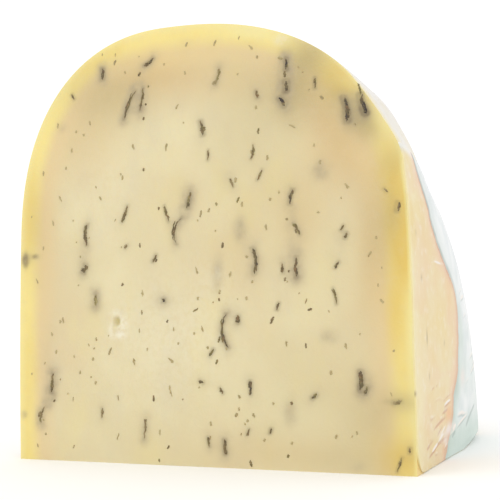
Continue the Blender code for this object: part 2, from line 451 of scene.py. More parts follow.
# Paste: what lies deep under the rind stays cream, the outer few millimetres dry to yellow.
# Herbs stain the paste round them grey, and tan, gold and pale places lie as in the photo.
# The points of the mesh carry them all. Places are across and up the cut face.
HERB_SHREDS = (
    # across, up, length, width, lean in degrees, sideways bow, darkness, stain
    (-17.0, 106.7, 3.6, 1.0, 56, 0.2, 0.85, 0.7), (-31.3, 104.7, 3.4, 1.3, 0, 0.1, 0.8, 0.8),
    (-22.7, 95.5, 8.4, 0.7, 24, -0.3, 0.75, 0.9), (-19.1, 96.7, 6.4, 0.7, 8, 0.2, 0.6, 0.7),
    (-40.6, 99.2, 1.8, 0.8, -30, 0.0, 0.7, 0.2), (-1.2, 87.5, 4.2, 1.4, -12, 0.2, 0.8, 0.3),
    (0.8, 80.3, 2.8, 0.7, 2, 0.0, 0.55, 0.1), (-4.8, 68.7, 4.6, 1.0, 15, 0.0, 0.8, 0.8),
    (-11.3, 65.5, 4.6, 0.7, -17, -0.1, 0.6, 0.2), (-7.5, 60.8, 7.2, 0.7, 13, -1.4, 0.75, 0.6),
    (-24.0, 66.0, 5.0, 1.0, 21, 0.2, 0.65, 0.3), (-35.6, 60.7, 6.0, 1.0, 0, -0.5, 0.8, 0.5),
    (3.4, 100.8, 4.4, 0.9, 14, 0.2, 0.45, 0.5), (22.8, 102.2, 3.0, 0.9, 0, 0.0, 0.95, 0.8),
    (22.8, 96.5, 2.8, 1.3, 0, 0.1, 1.1, 0.8), (21.6, 92.6, 2.8, 1.2, -35, 0.2, 1.1, 0.8),
    (14.6, 95.1, 2.0, 0.8, -15, 0.0, 0.7, 0.5), (30.7, 96.5, 2.8, 0.7, 2, 0.0, 0.7, 0.3),
    (38.7, 89.2, 6.4, 1.2, -4, 0.4, 1.3, 0.6), (43.6, 90.2, 5.2, 1.3, -13, -0.2, 1.3, 0.5),
    (13.3, 80.3, 3.9, 0.6, 10, 0.3, 0.5, 0.2), (15.4, 74.2, 3.0, 0.7, 28, 0.1, 0.6, 0.2),
    (24.1, 68.1, 4.0, 1.0, 12, -0.2, 0.85, 0.5), (52.1, 64.3, 2.4, 1.2, 8, 0.0, 0.75, 0.1),
    (25.6, 59.9, 3.6, 0.8, -32, 0.0, 0.6, 0.3), (-36.3, 51.6, 2.4, 1.6, 20, 0.2, 0.75, 0.5),
    (-14.8, 53.8, 2.4, 1.3, 30, 0.1, 0.6, 0.2), (-46.2, 20.8, 5.4, 1.2, 5, 0.1, 0.65, 0.9),
    (-48.8, 12.1, 4.8, 0.9, 18, -0.8, 0.45, 0.9), (-30.4, 13.0, 2.8, 0.8, 0, 0.0, 0.5, 0.3),
    (-17.3, 9.2, 5.4, 0.8, 5, 0.1, 0.5, 0.6), (13.6, 52.2, 6.8, 1.1, -3, 0.7, 0.9, 0.5),
    (25.5, 50.4, 5.2, 1.0, 0, -0.3, 0.9, 0.7), (21.7, 50.2, 2.6, 0.8, -4, 0.0, 0.75, 0.3),
    (35.5, 43.0, 4.2, 0.7, -13, 0.2, 0.6, 0.2), (6.4, 34.6, 8.8, 0.7, -5, -1.4, 0.8, 0.6),
    (9.4, 37.6, 2.0, 1.2, 0, 0.0, 0.8, 0.4), (42.0, 22.4, 4.8, 1.2, 0, 0.1, 1.0, 0.5),
    (12.8, 20.2, 3.6, 0.9, -3, 0.0, 0.85, 0.4), (51.3, 17.3, 2.4, 1.2, 72, 0.0, 0.35, 0.1),
    (5.8, 5.3, 3.9, 1.0, -4, 0.0, 0.7, 0.6), (30.1, 18.4, 1.8, 1.0, 50, 0.0, 0.75, 0.4),
    (36.1, 50.6, 2.0, 0.8, 33, 0.0, 0.65, 0.2), (20.4, 40.7, 2.0, 0.8, 20, 0.0, 0.75, 0.2),
    (2.0, 29.1, 2.2, 0.9, 32, 0.0, 0.7, 0.3), (43.5, 20.1, 1.9, 0.9, 18, 0.0, 0.75, 0.6),
    (-12.0, 42.7, 1.0, 1.0, 0, 0.0, 1.0, 0.3), (1.2, 6.4, 2.5, 0.8, -10, 0.0, 0.6, 0.4),
    (12.2, 9.1, 2.0, 0.7, 22, 0.0, 0.55, 0.2), (18.4, 9.6, 1.4, 0.9, 15, 0.0, 0.7, 0.2),
    (51.6, 2.6, 3.8, 0.6, 20, 0.0, 0.5, 0.1), (48.9, 68.4, 1.4, 0.9, -40, 0.0, 0.45, 0.2),
    (38.6, 57.8, 1.5, 1.0, 25, 0.0, 0.75, 0.2), (37.6, 59.8, 1.6, 0.7, 34, 0.0, 0.6, 0.2),
    (7.6, 72.6, 2.6, 0.7, -26, 0.0, 0.5, 0.3), (-32.7, 43.1, 3.2, 1.0, 0, 0.0, 0.5, 0.6),
    (4.8, 19.4, 1.8, 0.8, -34, 0.0, 0.6, 0.2), (-1.0, 21.6, 1.5, 0.9, -68, 0.0, 0.7, 0.3),
    (-23.5, 57.2, 1.3, 1.0, 40, 0.0, 0.6, 0.3), (54.2, 6.0, 1.2, 0.7, 0, 0.0, 0.7, 0.3),
)
DARKNESS_SLOT = 6
STAIN_SLOT = 7
SMALL_SHREDS = 46
SMALL_LENGTHS = (0.9, 2.4, 1.3)
SMALL_WIDTHS = (0.5, 0.8)
SMALL_DARKNESS = 0.2
SMALL_STAIN = 0.15
LEAN_SPREAD = 24.0
SHRED_MARGIN = 5.0
SHRED_TRIES = 12
SHRED_SEED = 19
EYE = (-26.0, 37.3, 1.0, 1.4)
EYE_DEPTH = 0.7
EYE_RIM = 0.12
EYE_RIM_SHARE = 1.35
EYE_RIM_WIDTH = 0.3
SHOULDER_WAVES = (
    # up the flank, half length, out
    (79.0, 5.0, 0.9), (93.0, 7.0, -0.7), (60.0, 11.0, -0.6),
)
SHOULDER_TURN = 0.15
SWELL_START = 8.0
RELIEF_FADE = 14.0
FLANK_SWELLS = (
    # back, up, reach back, reach up, out
    (21.0, 92.0, 13.0, 5.0, 0.9), (44.0, 74.0, 14.0, 9.0, -1.6), (54.0, 60.0, 12.0, 9.0, -0.5),
)
FOOT_INSET = 2.4
FOOT_HEIGHT = 3.0
FOOT_FROM = 48.0
FOOT_FULL = 68.0
CORNER_REACH = 8.0
FACE_WAVE = 0.10
FACE_WAVE_PACE = (0.045, 0.03)
FACE_WAVE_START = 6.0
RIND_WAVE = 0.25
RIND_WAVE_PACE = 0.05
RIND_WAVE_START = 8.0
ON_PLANE = 0.005
HALO_SPREAD = 1.5
HALO_STRENGTH = 1.35
CORE_SPREAD = 0.4
CORE_LIMIT = 0.55
DEEP_HERBS = (
    # across, up, reach across, reach up, weight
    (-55.2, 55.0, 2.6, 2.2, 0.8), (-51.2, 55.2, 1.4, 0.9, 0.5), (10.0, 60.5, 2.0, 3.6, 1.1),
    (32.0, 74.0, 2.8, 2.6, 1.1), (34.0, 33.0, 3.0, 2.0, 0.8), (23.8, 14.4, 1.9, 3.6, 1.0),
    (-55.2, 12.0, 1.3, 1.3, 0.9), (-44.0, 90.7, 2.0, 1.4, 0.6), (3.6, 49.5, 1.8, 5.0, 1.0),
    (-47.0, 17.5, 2.4, 3.5, 0.5), (22.6, 98.0, 2.2, 7.0, 1.1), (41.5, 1.6, 2.2, 1.6, 0.5),
    (24.5, 57.0, 3.2, 8.0, 0.45), (13.5, 53.0, 2.6, 6.0, 0.3), (7.0, 36.5, 3.4, 6.5, 0.3),
    (-7.0, 64.5, 3.6, 7.0, 0.3), (-37.5, 54.0, 3.0, 7.5, 0.3), (-33.0, 43.5, 2.4, 4.0, 0.5),
    (-12.0, 42.5, 4.5, 2.2, 0.35), (-48.0, 27.0, 5.0, 7.0, 0.3), (25.0, 49.0, 3.6, 4.0, 0.4),
    (5.5, 76.0, 5.0, 12.0, 0.2), (-4.0, 14.0, 6.0, 10.0, 0.15), (43.0, 21.5, 2.6, 3.6, 0.4),
    (-20.8, 95.8, 3.0, 5.5, 0.7), (41.0, 87.0, 4.0, 4.0, 0.4), (14.5, 7.0, 8.0, 6.0, 0.2),
    (-6.0, 71.0, 5.0, 6.0, 0.2), (19.5, 70.0, 5.0, 5.0, 0.18), (36.0, 54.5, 4.0, 5.0, 0.3),
)
DARK_SMUDGES = (
    (-55.4, 54.4, 1.2, 2.3, 1.1), (-52.3, 55.4, 1.3, 0.8, 0.8), (49.5, 17.4, 3.0, 1.0, 0.35),
    (54.6, 78.4, 0.9, 1.2, 0.5), (-54.9, 12.0, 0.9, 1.0, 0.4), (39.3, 87.6, 2.3, 4.0, 0.35),
    (44.0, 87.6, 2.1, 3.0, 0.35), (22.6, 97.0, 1.4, 5.5, 0.35), (42.0, 21.4, 1.6, 2.4, 0.1),
)
TAN_SPOTS = (
    (-38.0, 88.0, 15.0, 16.0, 0.5), (-50.0, 40.0, 5.0, 26.0, 0.25), (34.0, 92.0, 12.0, 10.0, 0.5),
    (40.0, 80.0, 11.0, 13.0, 0.8), (47.0, 53.0, 6.0, 18.0, 0.75), (20.0, 4.0, 26.0, 6.0, 0.4),
    (44.0, 24.0, 8.0, 22.0, 0.2), (0.0, 100.0, 40.0, 8.0, 0.5), (12.0, 60.0, 22.0, 20.0, 0.2),
    (-52.0, 66.0, 6.0, 16.0, 0.6), (-17.0, 104.0, 15.0, 5.0, 0.5), (26.0, 62.0, 7.0, 11.0, 0.35),
)
OLIVE_SPOTS = (
    (29.0, 104.5, 6.0, 6.0, 0.9), (31.0, 95.0, 11.0, 8.0, 0.45), (24.0, 95.0, 5.0, 8.0, 0.5),
    (43.0, 87.0, 6.0, 6.0, 0.6), (14.0, 92.0, 12.0, 14.0, 0.35), (50.0, 76.0, 4.0, 5.0, 0.35),
    (47.5, 59.0, 5.0, 15.0, 0.5), (40.0, 3.0, 16.0, 5.0, 0.3), (16.0, 56.0, 16.0, 22.0, 0.12),
    (-30.0, 99.0, 14.0, 8.0, 0.6), (-52.0, 62.0, 3.5, 14.0, 0.3), (30.0, 18.0, 22.0, 12.0, 0.2),
    (46.0, 14.0, 8.0, 8.0, 0.4), (53.0, 17.5, 4.0, 2.5, 0.5),
    (-24.5, 39.6, 0.9, 0.7, 0.4), (-25.3, 34.3, 1.5, 0.6, 0.4), (51.2, 62.5, 3.0, 5.0, 0.35),
    (41.4, 88.8, 3.2, 4.0, 0.9), (44.8, 83.5, 3.5, 3.5, 0.4), (36.0, 92.5, 3.5, 4.0, 0.3),
)
GOLD_SPOTS = (
    (54.5, 59.0, 4.5, 14.0, 1.6), (51.0, 73.0, 5.0, 6.0, 0.6), (53.0, 4.0, 6.0, 5.0, 0.9),
    (36.5, 99.0, 7.0, 5.0, 0.8), (41.4, 91.5, 2.0, 3.0, 0.6), (51.0, 38.0, 2.6, 10.0, 0.6),
    (-14.0, 108.0, 26.0, 4.0, 0.2), (-54.0, 66.0, 3.0, 12.0, 0.3), (38.5, 93.5, 4.5, 2.6, 0.6),
    (41.4, 89.5, 1.8, 3.4, 0.5), (51.5, 63.0, 3.0, 6.0, 0.4), (43.6, 93.0, 3.0, 3.0, 0.5),
)
STRAW_SPOTS = (
    (56.5, 34.0, 2.6, 10.0, 0.9), (44.0, 95.0, 6.0, 4.0, 0.35), (49.0, 87.0, 3.0, 6.0, 0.5),
    (55.0, 76.0, 2.4, 7.0, 0.5), (36.0, 101.0, 4.0, 3.0, 0.1), (14.0, 111.5, 9.0, 5.0, 0.8),
)
PALE_SPOTS = (
    (-24.3, 36.5, 1.5, 2.6, 0.8), (-26.5, 39.6, 1.8, 0.8, 0.5), (-25.6, 33.6, 2.2, 0.9, 0.7),
    (-28.0, 35.5, 0.8, 2.0, 0.5), (-10.0, 34.0, 18.0, 16.0, 0.3), (-30.0, 72.0, 12.0, 10.0, 0.15),
    (21.5, 108.5, 1.8, 1.4, 0.5), (3.6, 50.0, 0.8, 1.8, 0.4), (2.9, 47.7, 4.5, 4.5, 0.15),
)

CREAM = (213, 200, 158)
CREAM_PALE = (219, 208, 167)
CREAM_WARM = (211, 192, 150)
CREAM_COOL = (205, 194, 164)
CREAM_YELLOW = (220, 206, 148)
PALE = (228, 221, 196)
TAN = (205, 178, 127)
OLIVE_TAN = (176, 158, 110)
UNDER_RIND = (218, 193, 143)
EDGE_YELLOW = (231, 212, 133)
GOLD = (217, 186, 92)
STRAW = (229, 217, 152)
STAIN = (168, 153, 122)
STAIN_DARK = (112, 97, 68)
EYE_COLOUR = (190, 174, 114)


def flank_relief(back, up, inward):
    """How far the right flank stands out; inward is the distance in from the edge."""
    radius = np.hypot(back, up)
    turned = opening - np.arctan2(up, back)
    waves = sum(height * bell((radius - middle) / half) for middle, half, height in SHOULDER_WAVES)
    waves *= bell(turned / SHOULDER_TURN)
    swells = soft_spots(back, up, FLANK_SWELLS) * fraction(radius * turned / SWELL_START)
    worn = fraction((radius - FOOT_FROM) / (FOOT_FULL - FOOT_FROM))
    foot = FOOT_INSET * fraction(1.0 - up / FOOT_HEIGHT) ** 2 * worn
    return (waves + swells - foot) * fraction(1.0 - inward / RELIEF_FADE)


def small_shreds():
    """More shreds, spread evenly over the cut face and clear of the main ones."""
    draw = random.Random(SHRED_SEED)
    placed = [(across, up) for across, up, *rest in HERB_SHREDS]
    placed.append(EYE[:2])
    shreds = []
    while len(shreds) < SMALL_SHREDS:
        best = None
        best_room = 0.0
        for attempt in range(SHRED_TRIES):
            up = draw.uniform(SHRED_MARGIN, WHEEL_RADIUS - SHRED_MARGIN)
            left = section_edge(up, -1) + SHRED_MARGIN
            right = section_edge(up, 1) - SHRED_MARGIN
            across = draw.uniform(-HALF_THICKNESS, HALF_THICKNESS)
            if not left < across < right:
                continue
            room = min(math.hypot(across - x, up - y) for x, y in placed)
            if room > best_room:
                best = (across, up)
                best_room = room
        if best is None:
            continue
        placed.append(best)
        length = draw.triangular(*SMALL_LENGTHS)
        width = draw.uniform(*SMALL_WIDTHS)
        shreds.append((*best, length, width, draw.gauss(0.0, LEAN_SPREAD)))
    look = random.Random(SHRED_SEED + 1)
    return [(*shred, 0.0, look.uniform(0.0, SMALL_DARKNESS), look.uniform(0.0, SMALL_STAIN))
            for shred in shreds]


shreds = [*HERB_SHREDS, *small_shreds()]


def stains(across, up, shreds, spread, weight_slot):
    """Soft upright stains round the shreds."""
    total = np.zeros_like(across)
    for shred in shreds:
        middle_across, middle_up, length, width, lean, bow = shred[:6]
        lean = math.radians(lean)
        side = (across - middle_across) * math.cos(lean) - (up - middle_up) * math.sin(lean)
        along = (across - middle_across) * math.sin(lean) + (up - middle_up) * math.cos(lean)
        half = 0.5 * length
        bowed = side - bow * np.maximum(0.0, 1.0 - (along / half) ** 2)
        beyond = np.maximum(0.0, np.abs(along) - half)
        square = (bowed / (0.5 * width + spread)) ** 2 + (beyond / (1.4 * spread)) ** 2
        total += shred[weight_slot] * np.exp(-square)
    return total


points = from_axis(cheese.data)
radius = np.hypot(points[:, 1], points[:, 2])
on_front = np.abs(points @ face_out) < ON_PLANE
on_base = points[:, 2] < ON_PLANE
on_cut = on_front | on_base
rim_depth = np.zeros(len(points))
rim_depth[on_cut] = distance_to(section, as_points(points[on_cut, 0], radius[on_cut]))
across = points[:, 0]
front_only = on_front.astype(float)
carry(cheese.data, "rim_depth", rim_depth)
halo = HALO_STRENGTH * stains(across, radius, shreds, HALO_SPREAD, STAIN_SLOT)
core = np.minimum(stains(across, radius, shreds, CORE_SPREAD, DARKNESS_SLOT), CORE_LIMIT)
carry(cheese.data, "stain", front_only * (halo + soft_spots(across, radius, DEEP_HERBS)))
carry(cheese.data, "stain_dark", front_only * (core + soft_spots(across, radius, DARK_SMUDGES)))
carry(cheese.data, "olive_tan", front_only * soft_spots(across, radius, OLIVE_SPOTS))
for name, spots in (("tan", TAN_SPOTS), ("gold", GOLD_SPOTS), ("straw", STRAW_SPOTS),
                    ("pale", PALE_SPOTS)):
    carry(cheese.data, name, soft_spots(across, radius, spots))
turn_angle = np.arctan2(points[:, 2], points[:, 1])
from_cut = radius * np.minimum(turn_angle, opening - turn_angle)
carry(cheese.data, "from_cut", from_cut)
carry(cheese.data, "by_corner", bell(radius / CORNER_REACH))

# The eye's pit with its low rim, the slight waves that the knife left, and the rind's dents.
# By the front cut the right flank ends in a low shoulder, just above the label; farther
# back it lies a little flatter, and its foot is worn round.
eye_across, eye_up, eye_reach_across, eye_reach_up = EYE
eye_share = np.hypot((across - eye_across) / eye_reach_across, (radius - eye_up) / eye_reach_up)
carry(cheese.data, "eye", front_only * fraction(1.6 - 1.4 * eye_share))
wave = noise_at(FACE_WAVE_PACE[0] * across, FACE_WAVE_PACE[1] * radius, 8.0)
pit = EYE_DEPTH * np.sqrt(np.maximum(0.0, 1.0 - eye_share ** 2))
raised_rim = EYE_RIM * bell((eye_share - EYE_RIM_SHARE) / EYE_RIM_WIDTH)
offset = FACE_WAVE * wave * fraction(rim_depth / FACE_WAVE_START) + raised_rim - pit
moved = points + (front_only * offset)[:, None] * face_out
dent = noise_at(*(RIND_WAVE_PACE * points.T))
normals = np.array([vertex.normal for vertex in cheese.data.vertices])
dent_fade = fraction(from_cut / RIND_WAVE_START) * (1.0 - on_cut)
moved -= (RIND_WAVE * np.abs(dent) * dent_fade)[:, None] * normals
moved[:, 0] += flank_relief(points[:, 1], points[:, 2], section_edge(radius, 1) - points[:, 0])
set_points(cheese.data, in_scene(moved))

paste = Finish("gouda_paste", 0.5, Subsurface_Weight=0.12, Subsurface_Scale=0.002)
paste.shader.inputs["Subsurface Radius"].default_value = (1.0, 0.6, 0.25)
depth = paste.attribute("rim_depth")
wander = (paste.noise(70.0, 2.0) - 0.5) * 3.0
mottle = paste.noise(45.0, 4.0)
fine_mottle = paste.noise(420.0, 3.0)
upright = paste.noise(75.0, 3.0, stretch=(1.0, 1.0, 0.5))
edge = (depth + wander * 0.5).up_to(2.5, 7.5)
gold = paste.attribute("gold") * (depth.between(0.1, 1.1) * 0.8 + 0.15) * (mottle * 0.6 + 0.7)
crumbly = paste.noise(700.0, 3.0).between(0.3, 0.6) * 0.7 + 0.35
patchy = paste.noise(300.0, 3.0).between(0.25, 0.75) * 0.6 + 0.5
paste.feed("Base Color", paste.layers(
    CREAM,
    (mottle.between(0.35, 0.7), CREAM_PALE),
    (paste.noise(28.0, 3.0).between(0.5, 0.75) * 0.7, CREAM_WARM),
    (upright.between(0.5, 0.72) * 0.4, CREAM_COOL),
    (upright.up_to(0.3, 0.47) * 0.45, CREAM_YELLOW),
    (paste.attribute("tan").between(-0.2, 1.1), TAN),
    ((depth + wander).up_to(6.5, 13.5) * 0.7, UNDER_RIND),
    (edge, EDGE_YELLOW),
    (edge * upright.between(0.42, 0.66) * 0.35, GOLD),
    ((depth + wander * 0.3).up_to(0.2, 2.4) * 0.45, STRAW),
    (gold, GOLD),
    (paste.attribute("olive_tan") * (mottle * 0.5 + 0.55), OLIVE_TAN),
    (paste.attribute("straw") * depth.up_to(1.5, 5.0), STRAW),
    (paste.attribute("pale") * crumbly, PALE),
    (paste.attribute("stain").between(-0.1, 1.4) * patchy * 0.85, STAIN),
    (paste.attribute("stain_dark").between(0.05, 1.0) * patchy * 0.8, STAIN_DARK),
    (paste.attribute("eye") * 0.8, EYE_COLOUR),
    (fine_mottle.between(0.45, 0.8) * 0.15, CREAM_WARM)))
paste.feed("Roughness", mottle * 0.12 + 0.42)
smears = paste.noise(160.0, 3.0, stretch=(1.0, 1.0, 0.3))
soft_bump = paste.bump(smears, 0.0006, 0.5)
paste.feed("Normal", paste.bump(paste.noise(1500.0, 2.0), 0.00012, 0.5, under=soft_bump))

# Rind: a smooth pale coat over the rim and the bare flank, a little yellow beside the cuts,
# with the faint cloth marks and shallow dents that the mould and its cloth leave.
RIND_PALE = (218, 214, 208)
RIND_WARM = (221, 212, 187)
RIND_BY_CUT = (225, 208, 148)
RIND_CORNER = (226, 196, 118)
RIND_FLECK = (211, 197, 161)

rind = Finish("gouda_rind", 0.38, Coat_Weight=0.25, Coat_Roughness=0.3)
rind_mottle = rind.noise(38.0, 4.0)
beside_cut = (rind.attribute("from_cut") + (rind.noise(120.0) - 0.5) * 2.0).up_to(0.1, 6.0)
rind.feed("Base Color", rind.layers(
    RIND_PALE,
    (rind_mottle.between(0.4, 0.7), RIND_WARM),
    (rind.noise(260.0, 4.0).between(0.52, 0.75) * 0.35, RIND_FLECK),
    (beside_cut * 0.7, RIND_BY_CUT),
    (rind.attribute("by_corner").between(0.1, 0.6), RIND_CORNER)))
rind.feed("Roughness", rind_mottle * 0.2 + 0.3)
weave = rind.node("ShaderNodeTexVoronoi", {"feature": "SMOOTH_F1"},
                  {"Vector": rind.place, "Scale": 900.0, "Smoothness": 0.6}, output="Distance")
dents = rind.bump(rind.noise(55.0, 3.0), 0.0012, 0.6)
rind.feed("Normal", rind.bump(weave, 0.00012, 0.35, under=dents))

paint(cheese, paste, rind)
for face in cheese.data.polygons:
    corners = list(face.vertices)
    face.material_index = 0 if on_front[corners].all() or on_base[corners].all() else 1
pick(cheese)
bpy.ops.object.shade_smooth_by_angle(angle=math.radians(40.0))
nothing_selected()
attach(cheese, "root")
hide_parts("cheese")

# Herb shreds: dried stalks and leaves, chopped to pieces a few millimetres long, which lie
# mostly upright in the paste and are sliced with it. Each is a bundle of thin ragged strands.
# One strand is modelled and copied with its own form. Fine specks and crumbs lie between.
STRAND_SIDES = 8
STRAND_CUTS = 20
STRAND_PROUD = 0.16
STRAND_SINK = 0.06
STRAND_LOWEST = 0.3
LONE_STRAND = 1.5
THREE_STRANDS = 3.2
TIP_POWER = 2.6
RAGGEDNESS = 1.3
WANDER = 0.35
DARKNESS_CHANGE = 0.6
CRUMBS = 60
CRUMB_LENGTHS = (0.4, 1.2, 0.6)
CRUMB_WIDTHS = (0.25, 0.4)
CRUMB_MARGIN = 2.0
EYE_ROOM = 3.0
DARK_SPECKS = (
    # across, up, length, lean in degrees
    (-19.8, 103.6, 1.4, 45), (-17.8, 95.2, 0.6, 0), (-17.0, 100.0, 0.6, 0), (-18.3, 77.6, 0.9, 10),
    (-13.6, 67.0, 0.9, 0), (15.1, 85.5, 1.5, 0), (9.4, 68.1, 1.6, 26), (24.8, 60.9, 1.0, -30),
    (-19.2, 57.4, 1.4, 0), (-24.4, 47.1, 1.1, 17), (-10.9, 37.2, 0.9, 20), (-2.6, 40.0, 1.9, 54),
    (-45.4, 16.0, 0.9, 50), (-14.8, 17.1, 1.7, 0), (-10.4, 4.7, 1.2, 35), (5.0, 56.6, 1.6, 10),
    (23.4, 49.4, 0.7, 0), (22.4, 47.4, 1.1, 15), (4.1, 42.6, 0.9, 0), (29.0, 39.8, 1.4, 77),
    (18.8, 37.2, 2.2, 30), (4.1, 32.4, 1.8, 13), (27.9, 30.8, 1.4, 0), (24.1, 16.6, 0.9, 0),
    (23.1, 3.6, 0.9, 0), (13.0, 1.4, 1.8, -10), (3.5, 26.7, 1.4, 25), (-13.0, 1.2, 1.0, 0),
    (42.3, 94.0, 3.2, -14), (22.4, 99.6, 1.8, 0), (-18.4, 91.4, 0.9, 20),
)
OLIVE_SPECKS = (
    (-27.4, 107.5, 1.6, 18), (-1.2, 65.0, 2.0, 8), (14.8, 104.8, 0.9, 0), (21.2, 103.9, 1.5, -65),
    (32.4, 92.7, 1.4, -36), (3.2, 67.3, 1.0, -17), (-18.5, 39.6, 1.4, 0), (-28.0, 29.4, 2.3, 20),
    (9.0, 13.4, 1.2, 29), (9.8, 18.0, 1.1, -52), (13.7, 13.5, 0.8, 0), (0.9, 30.3, 0.9, -45),
    (22.9, 62.5, 0.7, 0), (2.4, 99.2, 1.2, 18),
)
FAINT_SPECKS = (
    (-39.5, 89.4, 0.8, 0), (-37.0, 88.3, 0.8, 0), (14.4, 91.7, 1.0, 0), (17.6, 78.5, 1.4, 0),
    (8.6, 73.3, 1.4, 12), (31.4, 63.9, 0.6, 0), (18.3, 67.8, 0.9, 0), (-37.6, 54.9, 0.7, 0),
    (-43.8, 37.4, 1.0, 10), (-2.0, 43.0, 1.0, 0), (-3.0, 34.0, 0.7, 0), (-7.6, 31.4, 0.7, 0),
    (-32.4, 32.6, 1.0, 0), (-33.3, 27.3, 1.0, 10), (-32.4, 21.0, 1.0, 0), (-45.0, 29.2, 1.2, 10),
    (-48.0, 7.0, 0.7, 0), (-10.1, 20.0, 1.2, 0), (-12.9, 8.4, 1.6, 0), (13.4, 47.0, 0.8, 0),
    (11.8, 53.4, 0.7, 0), (4.2, 44.6, 1.2, 0), (11.8, 42.8, 1.0, 0), (34.5, 24.2, 1.2, 0),
    (50.5, 29.6, 0.8, 40), (19.1, 16.4, 0.7, 0), (12.1, 12.0, 0.8, 0), (16.7, 7.3, 0.8, 0),
    (24.1, 6.8, 0.9, 0), (1.8, 11.0, 1.2, 0), (46.3, 57.0, 0.8, 0),
)
SHAPE_SEED = 7
SHRED_BLACK = (56, 46, 40)
SHRED_DARK = (94, 82, 54)
SHRED_BROWN = (112, 92, 58)
SHRED_OLIVE = (124, 114, 60)
SHRED_FAINT = (176, 160, 114)
SHRED_RUST = (138, 104, 66)

bpy.ops.mesh.primitive_cylinder_add(vertices=STRAND_SIDES, radius=1.0, depth=2.0)
pattern = bpy.context.object
bpy.ops.object.mode_set(mode="EDIT")
form = bmesh.from_edit_mesh(pattern.data)
for edge in form.edges:
    edge.select = abs(edge.verts[0].co.z - edge.verts[1].co.z) > 1.0
bmesh.update_edit_mesh(pattern.data)
bpy.ops.mesh.subdivide(number_cuts=STRAND_CUTS)
bpy.ops.object.mode_set(mode="OBJECT")
pattern_points = points_of(pattern.data)

shape_draw = random.Random(SHAPE_SEED)
strands = []
for across, up, length, width, lean, bow, darkness, stain in shreds:
    count = 1 if length < LONE_STRAND else 3 if length < THREE_STRANDS else 5
    for number in range(count):
        whole = number == 0
        share = 1.0 if whole else shape_draw.uniform(0.25, 0.6)
        slide = 0.5 * length * (1.0 - share) * shape_draw.uniform(-1.0, 1.0)
        aside = 0.0 if whole else shape_draw.gauss(0.0, 0.22) * width
        bend = math.degrees(math.atan(-8.0 * bow * slide / length ** 2))
        strand_bow = bow if whole else 0.15 * bow
        aside += 0.0 if whole else bow * (1.0 - (2.0 * slide / length) ** 2)
        turn = math.radians(lean)
        strands.append((
            across + aside * math.cos(turn) + slide * math.sin(turn),
            up - aside * math.sin(turn) + slide * math.cos(turn),
            length * share, width * shape_draw.uniform(0.4, 0.65 if count > 1 else 0.85),
            lean + (0.0 if whole else bend + shape_draw.gauss(0.0, 8.0)), strand_bow,
            darkness * shape_draw.uniform(0.65, 1.05)))
for specks, darkness in ((DARK_SPECKS, 0.5), (OLIVE_SPECKS, 0.25), (FAINT_SPECKS, 0.05)):
    for across, up, length, lean in specks:
        strands.append((across, up, length, shape_draw.uniform(0.45, 0.65), lean, 0.0, darkness))
for number in range(CRUMBS):
    up = shape_draw.uniform(1.5, WHEEL_RADIUS - 3.0)
    across = shape_draw.uniform(section_edge(up, -1) + CRUMB_MARGIN, section_edge(up, 1) - CRUMB_MARGIN)
    crumb = (across, up, shape_draw.triangular(*CRUMB_LENGTHS), shape_draw.uniform(*CRUMB_WIDTHS),
             shape_draw.gauss(0.0, LEAN_SPREAD), 0.0, shape_draw.uniform(0.0, 0.1))
    if math.hypot(across - EYE[0], up - EYE[1]) > EYE_ROOM:
        strands.append(crumb)

copies = []
for across, up, length, width, lean, bow, darkness in strands:
    copy = pattern.copy()
    copy.data = pattern.data.copy()
    bpy.context.scene.collection.objects.link(copy)
    start_side, start_along = shape_draw.uniform(0.0, 99.0), shape_draw.uniform(0.0, 99.0)
    side, out, along = pattern_points.T
    ring = np.sqrt(np.maximum(0.0, 1.0 - np.abs(along) ** TIP_POWER)) + 0.04
    rough = noise_at(start_side + 2.0 * side, start_along + 2.4 * along * length, 0.0)
    wave = noise_at(start_side, start_along + 0.55 * along * length, 5.0)
    half_width = 0.5 * width * ring * (1.0 + RAGGEDNESS * rough)
    drift = WANDER * wave * min(length, 3.0) / 3.0
    sideways = side * half_width + bow * (1.0 - along ** 2) + drift
    forward = 0.5 * length * along
    raised = out * ring * (STRAND_PROUD + STRAND_SINK) - STRAND_SINK
    turn = math.radians(lean)
    face_across = across + sideways * math.cos(turn) + forward * math.sin(turn)
    face_height = up - sideways * math.sin(turn) + forward * math.cos(turn)
    face_height = np.maximum(face_height, STRAND_LOWEST)
    set_points(copy.data, in_scene(
        face_across[:, None] * to_right + face_height[:, None] * face_up + raised[:, None] * face_out))
    carry(copy.data, "darkness", darkness * (1.0 + DARKNESS_CHANGE * wave))
    carry(copy.data, "olive", np.full(len(along), shape_draw.random()))
    copies.append(copy)
bpy.data.objects.remove(pattern, do_unlink=True)
nothing_selected()
for copy in copies:
    copy.select_set(True)
bpy.context.view_layer.objects.active = copies[0]
bpy.ops.object.join()
herbs = bpy.context.object
herbs.name = "herb_shreds"
bpy.ops.object.mode_set(mode="EDIT")
bpy.ops.mesh.select_all(action="SELECT")
bpy.ops.mesh.normals_make_consistent(inside=False)
bpy.ops.object.mode_set(mode="OBJECT")

